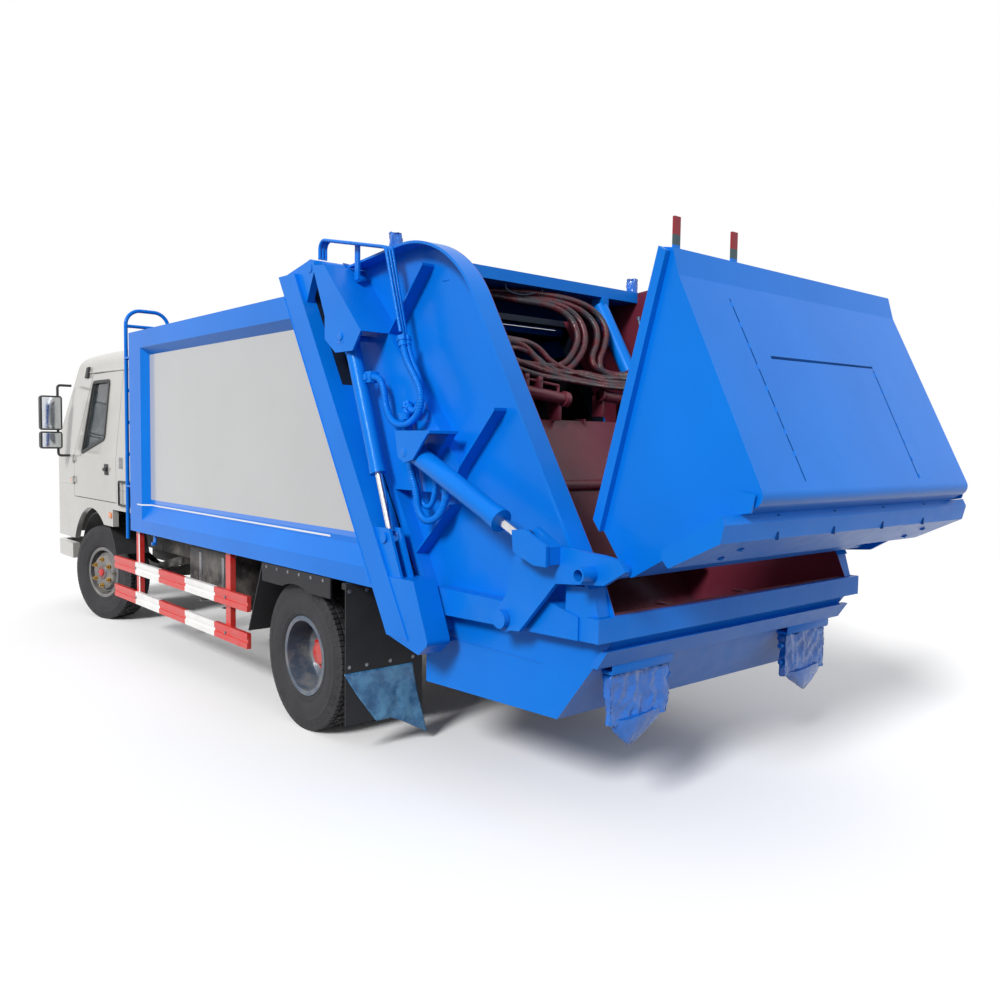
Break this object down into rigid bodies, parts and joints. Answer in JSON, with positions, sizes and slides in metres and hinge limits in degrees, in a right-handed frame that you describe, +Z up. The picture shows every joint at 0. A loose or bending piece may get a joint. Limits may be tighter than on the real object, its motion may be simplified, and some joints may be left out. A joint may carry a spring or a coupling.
{
  "type": "garbage truck",
  "caption": "Rear-loading garbage truck: cab-over chassis, framed load body, tailgate filler lifting on its hinge, packer blade and tipping loading bucket on crank arms.",
  "frame": {"origin": "centre of the whole truck's footprint, on the ground", "axes": "+X forward along the truck, +Y to its left, +Z up"},
  "size_m": [7.6005, 2.43, 2.6002],
  "materials": {
    "cab_cream": "gloss",
    "body_blue": "gloss",
    "panel_grey": "gloss",
    "chassis_black": "satin",
    "wheel_paint": "satin",
    "tyre": "matt",
    "guard_red": "satin",
    "hopper_maroon": "satin",
    "ram_maroon": "gloss",
    "rod_chrome": "polished",
    "flap_rubber": "matt",
    "film": "clear",
    "glass": "clear",
    "trim_black": "matt",
    "seat_fabric": "matt",
    "pipe_steel": "satin",
    "engine_iron": "matt"
  },
  "bodies": {
    "truck": {"frame_rails": "chassis_black", "body_bearers": "chassis_black", "front_axle": "chassis_black", "rear_axle": "chassis_black", "propeller_shaft": "chassis_black", "leaf_springs": "chassis_black", "engine_block": "engine_iron", "side_tanks": "chassis_black", "rear_fenders": "flap_rubber", "mud_flaps": "flap_rubber", "flap_film": "film", "front_wings": "trim_black", "bumper": "cab_cream", "side_guards": "guard_red", "body_floor": "hopper_maroon", "body_roof": "body_blue", "body_front_wall": "body_blue", "body_side_frames": "body_blue", "side_panels": "panel_grey", "rear_frame": "body_blue", "ladder": "chassis_black"},
    "cab": {"cab_shell": "cab_cream", "cab_glass": "glass", "cab_interior": "seat_fabric", "mirrors": "trim_black"},
    "door_left": {"door_left": "cab_cream", "door_glass_left": "glass"},
    "door_right": {"door_right": "cab_cream", "door_glass_right": "glass"},
    "knuckle_left": {"knuckle_left": "chassis_black"},
    "knuckle_right": {"knuckle_right": "chassis_black"},
    "front_wheel_left": {"front_tyre_left": "tyre", "front_rim_left": "wheel_paint"},
    "front_wheel_right": {"front_tyre_right": "tyre", "front_rim_right": "wheel_paint"},
    "rear_wheels_left": {"rear_tyres_left": "tyre", "rear_rims_left": "wheel_paint"},
    "rear_wheels_right": {"rear_tyres_right": "tyre", "rear_rims_right": "wheel_paint"},
    "filler": {"filler_sides": "body_blue", "filler_brackets": "body_blue", "filler_hull": "body_blue", "filler_roof": "body_blue", "hopper_floor": "hopper_maroon", "wrapped_lamps": "film", "hydraulic_pipes": "pipe_steel", "packer_rams": "ram_maroon"},
    "bucket": {"bucket_shell": "body_blue", "bin_comb": "chassis_black", "crank_arms": "body_blue"},
    "tilt_barrels": {"tilt_barrels": "body_blue"},
    "tilt_rods": {"tilt_rods": "rod_chrome"},
    "lift_barrels": {"lift_barrels": "body_blue"},
    "lift_rods": {"lift_rods": "rod_chrome"},
    "carriage": {"packer_carriage": "hopper_maroon"},
    "blade": {"packer_blade": "hopper_maroon"}
  },
  "joints": [
    {"name": "steer_left", "type": "hinge", "parent": "truck", "child": "knuckle_left", "pos_m": [2.67026, 0.705, 0.4025], "axis": [0, 0, 1], "range_deg": [-49, 19]},
    {"name": "front_wheel_left_spin", "type": "hinge", "parent": "knuckle_left", "child": "front_wheel_left", "pos_m": [2.64308, 0.80642, 0.4025], "axis": [-0.2588, 0.9659, 0], "continuous": true},
    {"name": "rear_wheels_left_spin", "type": "hinge", "parent": "truck", "child": "rear_wheels_left", "pos_m": [-1.12974, 0.8025, 0.4025], "axis": [0, 1, 0], "continuous": true},
    {"name": "door_left_hinge", "type": "hinge", "parent": "cab", "child": "door_left", "pos_m": [3.13726, 0.9813, 1.18], "axis": [0, 0, -1], "range_deg": [0, 65]},
    {"name": "steer_right", "type": "hinge", "parent": "truck", "child": "knuckle_right", "pos_m": [2.67026, -0.705, 0.4025], "axis": [0, 0, 1], "range_deg": [-49, 19]},
    {"name": "front_wheel_right_spin", "type": "hinge", "parent": "knuckle_right", "child": "front_wheel_right", "pos_m": [2.69744, -0.80642, 0.4025], "axis": [-0.2588, 0.9659, 0], "continuous": true},
    {"name": "rear_wheels_right_spin", "type": "hinge", "parent": "truck", "child": "rear_wheels_right", "pos_m": [-1.12974, -0.8025, 0.4025], "axis": [0, 1, 0], "continuous": true},
    {"name": "door_right_hinge", "type": "hinge", "parent": "cab", "child": "door_right", "pos_m": [3.13726, -0.9813, 1.18], "axis": [0, 0, 1], "range_deg": [0, 65]},
    {"name": "cab_tilt", "type": "hinge", "parent": "truck", "child": "cab", "pos_m": [3.71626, 0, 0.7], "axis": [0, 1, 0], "range_deg": [0, 45]},
    {"name": "filler_lift", "type": "hinge", "parent": "truck", "child": "filler", "pos_m": [-1.26474, 0, 2.446], "axis": [0, 1, 0], "range_deg": [0, 80]},
    {"name": "lift_barrel_swing", "type": "hinge", "parent": "filler", "child": "lift_barrels", "pos_m": [-1.61974, 0, 2.07], "axis": [0, 1, 0], "range_deg": [-94, 3]},
    {"name": "lift_rod_slide", "type": "slide", "parent": "lift_barrels", "child": "lift_rods", "axis": [-0.3574, 0, -0.934], "range_m": [-0.005, 0.622]},
    {"name": "bucket_tip", "type": "hinge", "parent": "filler", "child": "bucket", "pos_m": [-2.73574, 0, 0.856], "axis": [0, -1, 0], "range_deg": [-8, 60]},
    {"name": "tilt_barrel_swing", "type": "hinge", "parent": "filler", "child": "tilt_barrels", "pos_m": [-2.15974, 0, 1.52], "axis": [0, -1, 0], "range_deg": [-3, 11]},
    {"name": "tilt_rod_slide", "type": "slide", "parent": "tilt_barrels", "child": "tilt_rods", "axis": [-0.9146, 0, -0.4043], "range_m": [-0.048, 0.341]},
    {"name": "packer_slide", "type": "slide", "parent": "filler", "child": "carriage", "axis": [0.5145, 0, 0.8575], "range_m": [0, 0.35]},
    {"name": "packer_blade_swing", "type": "hinge", "parent": "carriage", "child": "blade", "pos_m": [-2.29174, 0, 1.358], "axis": [0, -1, 0], "range_deg": [0, 60]}
  ],
  "couplings": [
    {"joint": "steer_right", "follows": "steer_left", "ratio": 1},
    {"joint": "lift_barrel_swing", "follows": "filler_lift", "ratio": -1.136},
    {"joint": "lift_rod_slide", "follows": "filler_lift", "m_per_rad": 0.44298},
    {"joint": "tilt_barrel_swing", "follows": "bucket_tip", "ratio": 0.1622},
    {"joint": "tilt_rod_slide", "follows": "bucket_tip", "m_per_rad": 0.32239}
  ]
}
